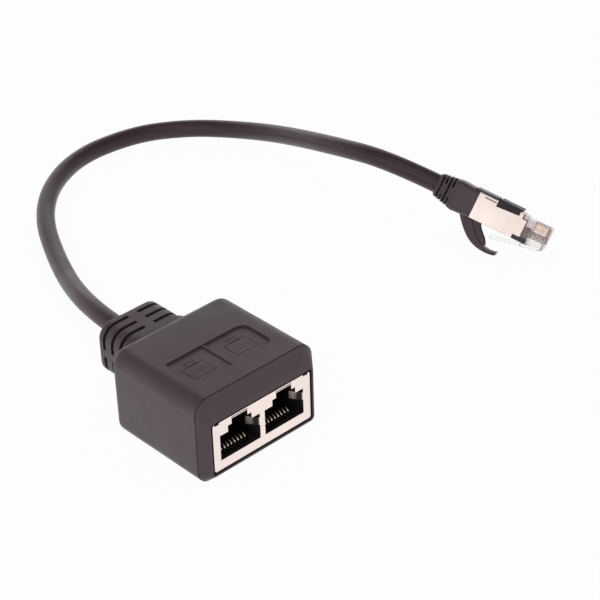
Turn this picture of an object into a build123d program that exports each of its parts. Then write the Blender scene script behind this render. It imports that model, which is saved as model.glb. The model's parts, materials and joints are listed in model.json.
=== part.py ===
from build123d import *
import os
from math import cos, radians, sin

# Network splitter adapter: a moulded housing with two sockets side by side, a short
# round cord from its back, and a shielded plug with a snag-proof boot on the cord's end.
# Millimetres. +Z is up, the sockets face -Y and the cord leaves towards +Y.
# The origin is under the middle of the housing and its strain relief, on the surface.

# Housing, moulded over the jack
HOUSING_WIDTH = 35.2
HOUSING_HEIGHT = 22.3
HOUSING_LENGTH = 32.2        # front lip to rear face
TOP_RADIUS = 3.8
BOTTOM_RADIUS = 3.0
REAR_ROUND = 2.4
BEVEL_LENGTH = 2.4           # sloping frame round the jack's face
SEAM_WIDTH = 0.3             # fine line where the frame meets the body
SEAM_DEPTH = 0.2
LIP_WIDTH = 0.45             # flat rim round the mouth
LIP_RADIUS = 1.2
MOUTH_GAP = 0.45             # dark gap round the jack's plate
MOUTH_DEPTH = 1.5
REAR_WALL = 2.0
# Sunk panel on top, with a low rib between its two halves
PANEL_X = -0.4
PANEL_Y = -10.45
PANEL_WIDTH = 23.6
PANEL_LENGTH = 10.7
PANEL_DEPTH = 0.3
PANEL_RADIUS = 2.4
PANEL_LEFT_RADIUS = 0.6
RIB_WIDTH = 0.5
RIB_HEIGHT = 0.15
RIB_X = -1.0

# Strain relief, one moulding with the housing
RELIEF_WIDTH = 18.4
RELIEF_HEIGHT = 13.8
RELIEF_LENGTH = 15.4
RELIEF_RADIUS = 3.9
RELIEF_END_ROUND = 0.8
RELIEF_Z = 11.0              # height of its centre line, and of the cord's exit
COLLAR_RISE = 0.6
COLLAR_LENGTH = 4.5
SLOT_ROWS = 3
SLOT_PITCH = 3.05
SLOT_FROM_END = 2.3
SLOT_WIDTH = 1.0
SLOT_DEPTH = 1.5
WEB_TOP = 2.8
WEB_SIDE = 2.1

# Twin jack: a folded sheet can round one black moulding
PORT_PITCH = 13.38
PORT_WIDTH = 11.9
PORT_HEIGHT = 6.76
STEP_WIDTH = 7.05
STEP_HEIGHT = 1.6
NOTCH_WIDTH = 4.7
NOTCH_HEIGHT = 2.0
PLATE_SILL = 2.45            # plate's lower edge to the sockets' floor
PLATE_SIDE = 2.16            # plate's side edge to the nearer socket
SHEET = 0.3
JACK_LIFT = 3.1              # surface to the plate's lower edge
JACK_DEPTH = 15.5
JACK_CORNER = 0.6
PLATE_SETBACK = 0.3          # plate behind the housing's lip
CORNER_CUT_WIDTH = 1.5
CORNER_CUT_HEIGHT = 0.45
CORNER_CUT_FROM_SIDE = 0.6
FIT = 0.05                   # clearance of pieces that are fitted together
PORT_DEPTH = 12.4
HEM_GAP = 0.22
HEM_SHEET = 0.2
HEM_LENGTH = 2.0
FINGER_HEIGHT = 2.1
FINGER_LIFT = 3.5            # socket floor to the finger's lower edge
FINGER_REACH = 1.9           # how far it stands into the socket
FINGER_LENGTH = 2.8

# Spring contacts of the sockets
CONTACT_COUNT = 8
CONTACT_PITCH = 1.016
CONTACT_WIDTH = 0.46
CONTACT_THICK = 0.3
CONTACT_BEND = 0.45
CONTACT_DROP = 0.75          # lower run under the socket's floor
CONTACT_CORNER = 0.2         # plate's face to where the two runs would meet
CONTACT_RISE_DEG = 28.0
CONTACT_REACH = 9.6          # plate's face to the free tip
CHANNEL_WIDTH = 0.66
CHANNEL_START = 1.1
CHANNEL_DEPTH = 1.15

# Board and inner moulding behind the jack
BOARD_GAP = 1.2              # tails between the insert and the board
BOARD_THICK = 1.2
BOARD_MARGIN = 0.8
WIRE_RADIUS = 0.4
WIRE_SIDES = 12
WIRE_PITCH = 2.6
WIRE_BUNDLE = 1.5            # radius on which the conductors enter the cord
WIRE_STRAIGHT = 1.6
WIRE_END_STRAIGHT = 1.5
WIRE_ROOM = 1.0              # clear space round the conductors

# Cord
CORD_DIAMETER = 5.1
# Route chosen along the cord's curve, between the two strain reliefs
CORD_FIRST_RUN = 16.5
CORD_LAST_RUN = 14.6
CORD_POINTS = [
    (13.0, 68.0, 3.6),
    (30.0, 101.0, 2.6),
    (54.0, 116.2, 2.7),
    (73.0, 115.4, 2.8),
    (87.5, 106.0, 3.3),
    (94.8, 93.0, 5.0),
    (96.6, 73.5, 9.6),
    (90.6, 45.2, 18.5),
]
RADIUS_SHARE = 0.45          # share of the shorter run that each bend takes

# Plug: its place is the middle of its nose, it lies on its nose and its lever
PLUG_NOSE = (110.05, -14.95, 6.07)
PLUG_HEADING = -65.8         # direction of its nose, degrees from +X
PLUG_DIP = 18.55             # nose down
PLUG_ROLL = 30.4             # near side up
PLUG_WIDTH = 11.68
PLUG_LENGTH = 21.2
PLUG_HEIGHT = 6.6
PLUG_CHAMFER = 0.4
NOSE_LENGTH = 7.0            # lower front part, ahead of the shield
NOSE_STEP = 0.45
BLADE_COUNT = 8
BLADE_WIDTH = 0.35
BLADE_LENGTH = 3.9
BLADE_HEIGHT = 2.3
BLADE_FROM_NOSE = 0.8
BLADE_SUNK = 0.35            # blade's edge under the contact side
BLADE_ROOM = 0.06
LATCH_ROOT = 1.5
LATCH_THICK = 0.95
LATCH_SINK = 0.2             # root's upper face inside the nose
LATCH_DROP = 3.3             # latch side to the tail's outer face
LATCH_LENGTH = 14.3
LATCH_WIDE = 6.2
LATCH_NARROW = 3.4
LATCH_SHOULDER = 6.4
PLUG_SHEET = 0.3
SHIELD_START = 7.1
SHIELD_SLOT = 7.0
SHIELD_SLOT_END = 17.5
SEAM_START = 16.2            # fine open seam along the fold, beside the tongue
SEAM_END = 19.5
SEAM_HEIGHT = 0.3
SEAM_FROM_TOP = 0.75
BAR_START = 5.1
BAR_LENGTH = 3.9
BAR_WIDTH = 9.8
BAR_PROUD = 0.4
BAR_FOOT_HEIGHT = 1.15       # lower part, as wide as the plug
BAR_RISE = 4.45              # how far it stands up inside the plug
PLUG_WIRE_START = 1.0        # nose to the wires' ends
PLUG_WIRE_Z = -0.3           # upper wires' centre line
WIRE_STAGGER = 1.0           # upper to lower wires in the bar
PLUG_ROOM_LENGTH = 5.0       # room where the wires part, behind the bar
PLUG_ROOM_WIDTH = 9.0
PLUG_ROOM_HEIGHT = 4.8
# Saddle across the contact side
SADDLE_START = 9.0
SADDLE_LENGTH = 6.95
SADDLE_THICK = 0.65
SADDLE_LIP = 1.65            # how far it comes down the sides, at its back
SADDLE_LIP_FRONT = 1.25
SADDLE_MARGIN = 0.55         # sheet that shows ahead of it
SADDLE_ROUND = 0.55
# Boot with four rows of slots, a tongue and a lever
BOOT_LENGTH = 11.6
BOOT_WAIST = 5.5             # front face to its fullest section
BOOT_FRONT_WIDTH = 12.7
BOOT_FRONT_HEIGHT = 7.6
BOOT_FULL_WIDTH = 11.6
BOOT_FULL_HEIGHT = 8.3
BOOT_END_WIDTH = 7.0
BOOT_END_HEIGHT = 6.2
NECK_RISE = 0.35             # cord's line above the plug's middle
BOOT_RADIUS = 1.6
BOOT_END_ROUND = 0.7
BOOT_SLOT_ROWS = 4
BOOT_SLOT_PITCH = 1.05
BOOT_SLOT_FROM_END = 1.0
BOOT_SLOT_WIDTH = 0.45
BOOT_WEB_ACROSS = 3.0        # web on the flat sides, in every other row
BOOT_WEB_SIDE = 2.9          # web on the edges, in the rows between
TONGUE_WIDTH = 10.6
TONGUE_THICK = 0.5
TONGUE_GAP = 0.25            # tongue's tip to the saddle
LEVER_WIDTH = 5.5
LEVER_CHEEK = 0.5            # each cheek's thickness
LEVER_RECESS = 0.55          # cheeks behind the rim's edge
# Lever's outlines from the side: distance behind the nose, and height
LEVER_OUTER = [(24.4, -3.6), (21.2, -7.3), (18.3, -9.4), (15.0, -10.35), (10.9, -10.0)]
LEVER_RIM = [(10.9, -9.0), (14.2, -9.2), (16.8, -8.0), (19.0, -5.8), (20.7, -3.8)]
LEVER_INNER = [(14.6, -8.7), (15.5, -7.2), (17.3, -5.4), (18.1, -3.8)]

# Places worked out from the sizes above
BODY_LENGTH = HOUSING_LENGTH + RELIEF_LENGTH
FRONT_Y = -BODY_LENGTH / 2
REAR_Y = FRONT_Y + HOUSING_LENGTH
END_Y = REAR_Y + RELIEF_LENGTH
BEVEL_Y = FRONT_Y + BEVEL_LENGTH
PLATE_Y = FRONT_Y + PLATE_SETBACK
JACK_WIDTH = PORT_PITCH + PORT_WIDTH + 2 * PLATE_SIDE
PORT_TOP = PORT_HEIGHT + STEP_HEIGHT + NOTCH_HEIGHT
JACK_HEIGHT = PLATE_SILL + PORT_TOP + SHEET
JACK_Z = JACK_LIFT + JACK_HEIGHT / 2
FLOOR_Z = JACK_LIFT + PLATE_SILL
INSERT_Y = PLATE_Y + SHEET + FIT
INSERT_END = PLATE_Y + JACK_DEPTH
BOARD_Y = INSERT_END + BOARD_GAP
POCKET_END = REAR_Y - REAR_WALL
POCKET_WIDTH = JACK_WIDTH + 2 * FIT
POCKET_HEIGHT = JACK_HEIGHT + 2 * FIT
PORT_CENTRES = (-PORT_PITCH / 2, PORT_PITCH / 2)
EXIT = Vector(0, END_Y, RELIEF_Z)


def across(y):
    """Plane across the housing at y, with its own x to the right and its own y up."""
    return Plane(origin=(0, y, 0), x_dir=(1, 0, 0), z_dir=(0, -1, 0))


def rounded(plane, width, height, centre_z, radius, low_radius=None):
    """Rounded rectangle on a plane; the lower corners can have their own radius."""
    with BuildSketch(plane) as outline:
        with Locations((0, centre_z)):
            Rectangle(width, height)
        fillet(outline.vertices().sort_by(Axis.Y)[2:], radius)
        fillet(outline.vertices().sort_by(Axis.Y)[:2], radius if low_radius is None else low_radius)
    return outline.sketch


def body_section(y, inset=0.0):
    """Housing's section at y, drawn in by inset all round."""
    return rounded(across(y), HOUSING_WIDTH - 2 * inset, HOUSING_HEIGHT - 2 * inset,
                   HOUSING_HEIGHT / 2, TOP_RADIUS - inset, BOTTOM_RADIUS - inset)


def relief_section(y, grow=0.0):
    """Strain relief's section at y, drawn out by grow all round."""
    return rounded(across(y), RELIEF_WIDTH + 2 * grow, RELIEF_HEIGHT + 2 * grow,
                   RELIEF_Z, RELIEF_RADIUS + grow)


def port_outline(plane, centre_x, grow=0.0):
    """Stepped socket outline: the plug's box, a shoulder and the latch's notch."""
    with BuildSketch(plane) as outline:
        with Locations((centre_x, FLOOR_Z + PORT_HEIGHT / 2)):
            Rectangle(PORT_WIDTH + 2 * grow, PORT_HEIGHT)
        with Locations((centre_x, FLOOR_Z + (PORT_HEIGHT + STEP_HEIGHT) / 2)):
            Rectangle(STEP_WIDTH + 2 * grow, PORT_HEIGHT + STEP_HEIGHT)
        with Locations((centre_x, FLOOR_Z + PORT_TOP / 2)):
            Rectangle(NOTCH_WIDTH + 2 * grow, PORT_TOP)
    return outline.sketch


def box_between(low, high):
    """Box from its lowest to its highest corner, in the part being built."""
    middle = [(a + b) / 2 for a, b in zip(low, high)]
    size = [b - a for a, b in zip(low, high)]
    with Locations(tuple(middle)):
        return Box(*size)


# Housing
LIP_GROW = 2 * (MOUTH_GAP + LIP_WIDTH)
with BuildPart() as housing:
    extrude(body_section(BEVEL_Y + SEAM_WIDTH), amount=BEVEL_Y + SEAM_WIDTH - REAR_Y)
    fillet(housing.faces().sort_by(Axis.Y)[-1].edges(), REAR_ROUND)
    extrude(body_section(BEVEL_Y, SEAM_DEPTH), amount=-SEAM_WIDTH)
    lip = rounded(across(FRONT_Y), JACK_WIDTH + LIP_GROW, JACK_HEIGHT + LIP_GROW, JACK_Z, LIP_RADIUS)
    loft([body_section(BEVEL_Y).face(), lip.face()], ruled=True)
    # Strain relief and its collar
    relief_root = REAR_Y - REAR_WALL / 2
    extrude(relief_section(relief_root), amount=relief_root - END_Y)
    fillet(housing.faces().sort_by(Axis.Y)[-1].edges(), RELIEF_END_ROUND)
    extrude(relief_section(relief_root, COLLAR_RISE), amount=-(COLLAR_LENGTH + REAR_WALL / 2))
    # Slots that leave webs at the middle of each side
    for row in range(SLOT_ROWS):
        slot_y = END_Y - SLOT_FROM_END - row * SLOT_PITCH - SLOT_WIDTH / 2
        with BuildSketch(across(slot_y)):
            with Locations((0, RELIEF_Z)):
                Rectangle(2 * RELIEF_WIDTH, 2 * RELIEF_HEIGHT)
            add(relief_section(slot_y, -SLOT_DEPTH), mode=Mode.SUBTRACT)
            with Locations((0, RELIEF_Z)):
                Rectangle(WEB_TOP, 2 * RELIEF_HEIGHT, mode=Mode.SUBTRACT)
                Rectangle(2 * RELIEF_WIDTH, WEB_SIDE, mode=Mode.SUBTRACT)
        extrude(amount=-SLOT_WIDTH, mode=Mode.SUBTRACT)
    # Mouth and the pocket that holds the jack, the board and the inner moulding
    mouth = rounded(across(FRONT_Y), JACK_WIDTH + 2 * MOUTH_GAP, JACK_HEIGHT + 2 * MOUTH_GAP,
                    JACK_Z, LIP_RADIUS - LIP_WIDTH)
    extrude(mouth, amount=-MOUTH_DEPTH, mode=Mode.SUBTRACT)
    pocket = rounded(across(FRONT_Y), POCKET_WIDTH, POCKET_HEIGHT, JACK_Z, JACK_CORNER)
    extrude(pocket, amount=FRONT_Y - POCKET_END, mode=Mode.SUBTRACT)
    # Sunk panel and its rib
    with BuildSketch(Plane.XY.offset(HOUSING_HEIGHT)) as panel:
        with Locations((PANEL_X, PANEL_Y)):
            Rectangle(PANEL_WIDTH, PANEL_LENGTH)
        fillet(panel.vertices().sort_by(Axis.X)[-2:], PANEL_RADIUS)
        fillet(panel.vertices().sort_by(Axis.X)[:2], PANEL_LEFT_RADIUS)
        with Locations((RIB_X, PANEL_Y)):
            Rectangle(RIB_WIDTH, PANEL_LENGTH, mode=Mode.SUBTRACT)
    extrude(amount=-PANEL_DEPTH, mode=Mode.SUBTRACT)
    with BuildSketch(Plane.XY.offset(HOUSING_HEIGHT)) as rib_top:
        with Locations((RIB_X, PANEL_Y)):
            Rectangle(RIB_WIDTH, PANEL_LENGTH)
    extrude(amount=-(PANEL_DEPTH - RIB_HEIGHT), mode=Mode.SUBTRACT)
housing.part.label = "housing"

# Jack shield: five-sided can with two stepped openings, folded fingers and hems
with BuildPart() as jack_shield:
    extrude(rounded(across(PLATE_Y), JACK_WIDTH, JACK_HEIGHT, JACK_Z, JACK_CORNER), amount=-JACK_DEPTH)
    inside = rounded(across(PLATE_Y + SHEET), JACK_WIDTH - 2 * SHEET, JACK_HEIGHT - 2 * SHEET,
                     JACK_Z, JACK_CORNER - SHEET)
    extrude(inside, amount=-JACK_DEPTH, mode=Mode.SUBTRACT)
    top_inner = JACK_LIFT + JACK_HEIGHT - SHEET
    for centre in PORT_CENTRES:
        extrude(port_outline(across(PLATE_Y), centre), amount=-SHEET, mode=Mode.SUBTRACT)
        # Hem: the top sheet turned back under itself over the notch
        hem_x = NOTCH_WIDTH / 2 - FIT
        hem_end = PLATE_Y + HEM_LENGTH
        hem_low = top_inner - HEM_GAP - HEM_SHEET
        box_between((centre - hem_x, PLATE_Y, hem_low), (centre + hem_x, hem_end, hem_low + HEM_SHEET))
        box_between((centre - hem_x, hem_end - HEM_SHEET, hem_low), (centre + hem_x, hem_end, top_inner + FIT))
        # Earth fingers folded in from both side edges of the opening
        for side in (-1, 1):
            edge_x = centre + side * PORT_WIDTH / 2
            with BuildSketch(Plane.XY.offset(FLOOR_Z + FINGER_LIFT)):
                with BuildLine():
                    Polyline(
                        (edge_x, PLATE_Y),
                        (edge_x - side * FINGER_REACH, PLATE_Y + FINGER_LENGTH),
                        (edge_x - side * (FINGER_REACH - SHEET), PLATE_Y + FINGER_LENGTH + SHEET / 2),
                        (edge_x, PLATE_Y + SHEET),
                        close=True,
                    )
                make_face()
            extrude(amount=FINGER_HEIGHT)
    for side in (-1, 1):
        cut_x = side * (JACK_WIDTH / 2 - CORNER_CUT_FROM_SIDE - CORNER_CUT_WIDTH / 2)
        cut_low = JACK_LIFT + JACK_HEIGHT - CORNER_CUT_HEIGHT
        with Locations((cut_x, PLATE_Y + SHEET / 2, cut_low + CORNER_CUT_HEIGHT)):
            Box(CORNER_CUT_WIDTH, SHEET, 2 * CORNER_CUT_HEIGHT, mode=Mode.SUBTRACT)
jack_shield.part.label = "jack_shield"

# Jack insert: black moulding with both socket wells and a channel for each contact
INSERT_WIDTH = JACK_WIDTH - 2 * SHEET - 2 * FIT
INSERT_HEIGHT = JACK_HEIGHT - 2 * SHEET - 2 * FIT
contact_offsets = [(i - (CONTACT_COUNT - 1) / 2) * CONTACT_PITCH for i in range(CONTACT_COUNT)]
with BuildPart() as jack_insert:
    extrude(rounded(across(INSERT_Y), INSERT_WIDTH, INSERT_HEIGHT, JACK_Z, JACK_CORNER - SHEET),
            amount=INSERT_Y - INSERT_END)
    for centre in PORT_CENTRES:
        extrude(port_outline(across(INSERT_Y), centre, FIT), amount=-PORT_DEPTH, mode=Mode.SUBTRACT)
        for offset_x in contact_offsets:
            x = centre + offset_x
            box_low = (x - CHANNEL_WIDTH / 2, PLATE_Y + CHANNEL_START, FLOOR_Z - CHANNEL_DEPTH)
            box_high = (x + CHANNEL_WIDTH / 2, INSERT_END, FLOOR_Z + FIT)
            size = [b - a for a, b in zip(box_low, box_high)]
            with Locations(tuple((a + b) / 2 for a, b in zip(box_low, box_high))):
                Box(*size, mode=Mode.SUBTRACT)
jack_insert.part.label = "jack_insert"


def make_contact(x):
    """Spring contact: tail on the board, run under the floor, hairpin and rising spring."""
    low_z = FLOOR_Z - CONTACT_DROP
    corner_y = PLATE_Y + CONTACT_CORNER
    reach = CONTACT_REACH - CONTACT_CORNER
    rise = radians(CONTACT_RISE_DEG)
    with BuildPart() as contact:
        with BuildLine(Plane.YZ.offset(x)) as path:
            FilletPolyline(
                (BOARD_Y, low_z),
                (corner_y, low_z),
                (corner_y + reach, low_z + reach * sin(rise) / cos(rise)),
                radius=CONTACT_BEND,
            )
        start = Plane(origin=path.line @ 0, x_dir=(1, 0, 0), z_dir=path.line % 0)
        with BuildSketch(start):
            Rectangle(CONTACT_WIDTH, CONTACT_THICK)
        sweep()
    return contact


port_contacts = []
for port, centre in enumerate(PORT_CENTRES, start=1):
    for number, offset_x in enumerate(contact_offsets, start=1):
        contact = make_contact(centre + offset_x)
        contact.part.label = f"contact_{port}_{number}"
        port_contacts.append(contact)

# Circuit board behind the jack
BOARD_WIDTH = JACK_WIDTH - 2 * BOARD_MARGIN
BOARD_HEIGHT = JACK_HEIGHT - 2 * BOARD_MARGIN
with BuildPart() as circuit_board:
    with BuildSketch(across(BOARD_Y)):
        with Locations((0, JACK_Z)):
            Rectangle(BOARD_WIDTH, BOARD_HEIGHT)
    extrude(amount=-BOARD_THICK)
circuit_board.part.label = "circuit_board"

# Inner moulding, with a tapering room for the conductors
MOULD_Y = BOARD_Y + BOARD_THICK
MOULD_END = POCKET_END - FIT
wire_span = (CONTACT_COUNT - 1) * WIRE_PITCH
with BuildPart() as inner_mould:
    extrude(rounded(across(MOULD_Y), POCKET_WIDTH - 2 * FIT, POCKET_HEIGHT - 2 * FIT, JACK_Z, JACK_CORNER),
            amount=MOULD_Y - MOULD_END)
    room_front = wire_span / 2 + WIRE_RADIUS + WIRE_ROOM
    room_back = WIRE_BUNDLE + WIRE_RADIUS + WIRE_ROOM
    with BuildSketch(Plane.XY.offset(RELIEF_Z)):
        with BuildLine():
            Polyline(
                (-room_front, MOULD_Y),
                (room_front, MOULD_Y),
                (room_front, MOULD_Y + WIRE_STRAIGHT + WIRE_ROOM),
                (room_back, MOULD_END - WIRE_END_STRAIGHT),
                (room_back, MOULD_END),
                (-room_back, MOULD_END),
                (-room_back, MOULD_END - WIRE_END_STRAIGHT),
                (-room_front, MOULD_Y + WIRE_STRAIGHT + WIRE_ROOM),
                close=True,
            )
        make_face()
    extrude(amount=room_back, both=True, mode=Mode.SUBTRACT)
inner_mould.part.label = "inner_mould"


def make_wire(points):
    """One insulated wire along straight runs, with mitred turns and few faces."""
    with BuildPart() as wire:
        with BuildLine() as path:
            Polyline(*points)
        with BuildSketch(Plane(origin=path.line @ 0, z_dir=path.line % 0)):
            RegularPolygon(WIRE_RADIUS, WIRE_SIDES)
        sweep(transition=Transition.RIGHT)
    return wire


def bundle_place(number):
    """Place of a wire in the cord's round bundle, from the bundle's centre."""
    turn = radians(180 - (number + 0.5) * 180 / CONTACT_COUNT)
    level = 1 if number % 2 else -1
    return WIRE_BUNDLE * cos(turn), level * WIRE_BUNDLE * sin(turn)


conductors = []
for number in range(CONTACT_COUNT):
    pad_x = (number - (CONTACT_COUNT - 1) / 2) * WIRE_PITCH
    end_x, rise = bundle_place(number)
    conductor = make_wire([
        (pad_x, MOULD_Y, RELIEF_Z),
        (pad_x, MOULD_Y + WIRE_STRAIGHT, RELIEF_Z),
        (end_x, MOULD_END - WIRE_END_STRAIGHT, RELIEF_Z + rise),
        (end_x, POCKET_END, RELIEF_Z + rise),
    ])
    conductor.part.label = f"conductor_{number + 1}"
    conductors.append(conductor)

# Plug's own frame: x across it, y back from its nose, z towards its contact side
heading = radians(PLUG_HEADING)
dip = radians(PLUG_DIP)
roll = radians(PLUG_ROLL)
level_side = Vector(-sin(heading), cos(heading), 0)
level_up = Vector(sin(dip) * cos(heading), sin(dip) * sin(heading), cos(dip))
plug_side = level_side * cos(roll) - level_up * sin(roll)
plug_up = level_up * cos(roll) + level_side * sin(roll)
plug_place = Plane(origin=PLUG_NOSE, x_dir=plug_side, z_dir=plug_up)


def on_plug(part, label):
    """Moves a finished piece of the plug from the plug's own frame to its place."""
    placed = part.moved(plug_place.location)
    placed.label = label
    return placed


HALF_HEIGHT = PLUG_HEIGHT / 2
blade_offsets = [(i - (BLADE_COUNT - 1) / 2) * CONTACT_PITCH for i in range(BLADE_COUNT)]
nose_top = HALF_HEIGHT - NOSE_STEP
blade_top = nose_top - BLADE_SUNK
bar_low = -HALF_HEIGHT - BAR_PROUD
bar_high = bar_low + BAR_RISE
bar_end = BAR_START + BAR_LENGTH
foot_high = bar_low + BAR_FOOT_HEIGHT
BOOT_END = PLUG_LENGTH + BOOT_LENGTH
wire_places = []
for number, x in enumerate(blade_offsets):
    wire_places.append((x, PLUG_WIRE_Z - WIRE_STAGGER * (1 - number % 2)))

# Plug body: clear moulding with the latch, slots for the blades and a room for the bar
with BuildPart() as plug_body:
    box_between((-PLUG_WIDTH / 2, 0, -HALF_HEIGHT), (PLUG_WIDTH / 2, NOSE_LENGTH, nose_top))
    chamfer(plug_body.faces().sort_by(Axis.Y)[0].edges(), PLUG_CHAMFER)
    box_between((-PLUG_WIDTH / 2, NOSE_LENGTH, -HALF_HEIGHT), (PLUG_WIDTH / 2, PLUG_LENGTH, HALF_HEIGHT))
    # Latch: root at the nose, spring arm back under the plug, shoulders and narrow tail
    latch_face = -HALF_HEIGHT - LATCH_THICK + LATCH_SINK
    with BuildSketch(Plane.YZ) as latch:
        with BuildLine():
            Polyline(
                (PLUG_CHAMFER, -HALF_HEIGHT + PLUG_CHAMFER),
                (PLUG_CHAMFER, latch_face + LATCH_THICK / 2),
                (LATCH_ROOT, latch_face),
                (LATCH_LENGTH, -HALF_HEIGHT - LATCH_DROP),
                (LATCH_LENGTH, -HALF_HEIGHT - LATCH_DROP + LATCH_THICK),
                (LATCH_ROOT, latch_face + LATCH_THICK),
                (LATCH_ROOT, -HALF_HEIGHT + PLUG_CHAMFER),
                close=True,
            )
        make_face()
    extrude(amount=LATCH_WIDE / 2, both=True)
    trim_width = (LATCH_WIDE - LATCH_NARROW) / 2
    for side in (-1, 1):
        middle_x = side * (LATCH_NARROW + trim_width) / 2
        with Locations((middle_x, LATCH_SHOULDER + LATCH_LENGTH / 2, -HALF_HEIGHT - LATCH_LENGTH / 2 - FIT)):
            Box(trim_width, LATCH_LENGTH, LATCH_LENGTH, mode=Mode.SUBTRACT)
    # Slots for the blades
    for x in blade_offsets:
        slot_half = BLADE_WIDTH / 2 + BLADE_ROOM
        slot_low = blade_top - BLADE_HEIGHT - BLADE_ROOM
        slot_length = BLADE_LENGTH + 2 * BLADE_ROOM
        with Locations((x, BLADE_FROM_NOSE + BLADE_LENGTH / 2, (slot_low + HALF_HEIGHT) / 2)):
            Box(2 * slot_half, slot_length, HALF_HEIGHT - slot_low, mode=Mode.SUBTRACT)
    # Room for the bar, for the wires that part behind it, and for the jacket's end
    with Locations((0, BAR_START + BAR_LENGTH / 2, (bar_low + bar_high) / 2)):
        Box(BAR_WIDTH + 2 * FIT, BAR_LENGTH + 2 * FIT, bar_high - bar_low + 2 * FIT, mode=Mode.SUBTRACT)
    with Locations((0, BAR_START + BAR_LENGTH / 2, bar_low + BAR_FOOT_HEIGHT / 2)):
        Box(2 * PLUG_WIDTH, BAR_LENGTH + 2 * FIT, BAR_FOOT_HEIGHT + 2 * FIT, mode=Mode.SUBTRACT)
    with Locations((0, bar_end + PLUG_ROOM_LENGTH / 2, 0)):
        Box(PLUG_ROOM_WIDTH, PLUG_ROOM_LENGTH, PLUG_ROOM_HEIGHT, mode=Mode.SUBTRACT)
    with BuildSketch(across(PLUG_LENGTH)):
        with Locations((0, NECK_RISE)):
            Circle(CORD_DIAMETER / 2 + FIT)
    extrude(amount=PLUG_LENGTH - bar_end, mode=Mode.SUBTRACT)
    # Channels for the wires, under the blades
    with BuildSketch(across(BAR_START)):
        with Locations(*wire_places):
            Rectangle(2 * (WIRE_RADIUS + FIT), 2 * (WIRE_RADIUS + FIT))
    extrude(amount=BAR_START - PLUG_WIRE_START + FIT, mode=Mode.SUBTRACT)

# Load bar: dark bar that lines the conductors up, and shows under the plug
with BuildPart() as load_bar:
    box_between((-PLUG_WIDTH / 2, BAR_START, bar_low), (PLUG_WIDTH / 2, bar_end, foot_high))
    chamfer(load_bar.faces().sort_by(Axis.Z)[0].edges(), BAR_PROUD / 3)
    box_between((-BAR_WIDTH / 2, BAR_START, foot_high), (BAR_WIDTH / 2, bar_end, bar_high))
    with BuildSketch(across(bar_end)):
        with Locations(*wire_places):
            Circle(WIRE_RADIUS + FIT)
    extrude(amount=BAR_LENGTH, mode=Mode.SUBTRACT)

# Wires from the cord's end, through the bar, to under the blades
room_end = bar_end + PLUG_ROOM_LENGTH
plug_wires = []
for number, (x, z) in enumerate(wire_places):
    end_x, end_z = bundle_place(number)
    plug_wires.append(make_wire([
        (x, PLUG_WIRE_START, z),
        (x, bar_end + WIRE_RADIUS, z),
        (end_x, room_end - WIRE_RADIUS, end_z + NECK_RISE),
        (end_x, room_end, end_z + NECK_RISE),
    ]))

# End of the cord's jacket, inside the boot and the plug
with BuildPart() as jacket_end:
    with BuildSketch(across(BOOT_END)):
        with Locations((0, NECK_RISE)):
            Circle(CORD_DIAMETER / 2)
    extrude(amount=BOOT_END - room_end)

# Blades
blades = []
for x in blade_offsets:
    with BuildPart() as blade:
        box_between((x - BLADE_WIDTH / 2, BLADE_FROM_NOSE, blade_top - BLADE_HEIGHT),
                    (x + BLADE_WIDTH / 2, BLADE_FROM_NOSE + BLADE_LENGTH, blade_top))
        fillet(blade.edges().filter_by(Axis.X).sort_by(Axis.Z)[-2:], BLADE_SUNK)
    blades.append(blade)

# Plug shield: folded sheet round the body, open over the latch
SHIELD_WIDTH = PLUG_WIDTH + 2 * (PLUG_SHEET + FIT)
SHIELD_HEIGHT = PLUG_HEIGHT + 2 * (PLUG_SHEET + FIT)
shield_length = PLUG_LENGTH - SHIELD_START
with BuildPart() as plug_shield:
    with BuildSketch(across(SHIELD_START)):
        RectangleRounded(SHIELD_WIDTH, SHIELD_HEIGHT, PLUG_SHEET)
        Rectangle(SHIELD_WIDTH - 2 * PLUG_SHEET, SHIELD_HEIGHT - 2 * PLUG_SHEET, mode=Mode.SUBTRACT)
    extrude(amount=-shield_length)
    with Locations((0, BAR_START + BAR_LENGTH / 2, bar_low + BAR_FOOT_HEIGHT / 2)):
        Box(2 * SHIELD_WIDTH, BAR_LENGTH + 2 * FIT, BAR_FOOT_HEIGHT + 2 * FIT, mode=Mode.SUBTRACT)
    with Locations((0, (SHIELD_START + SHIELD_SLOT_END) / 2, -HALF_HEIGHT - PLUG_SHEET)):
        Box(SHIELD_SLOT, SHIELD_SLOT_END - SHIELD_START, 4 * PLUG_SHEET, mode=Mode.SUBTRACT)
    # Contact side cut away ahead of the saddle, and the open seam beside the tongue
    cut_length = SADDLE_START - SADDLE_MARGIN - SHIELD_START
    with Locations((0, SHIELD_START, SHIELD_HEIGHT / 2)):
        Box(2 * SHIELD_WIDTH, 2 * cut_length, 2 * SADDLE_LIP, mode=Mode.SUBTRACT)
    with Locations((0, (SEAM_START + SEAM_END) / 2, SHIELD_HEIGHT / 2 - SEAM_FROM_TOP)):
        Box(2 * SHIELD_WIDTH, SEAM_END - SEAM_START, SEAM_HEIGHT, mode=Mode.SUBTRACT)

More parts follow.
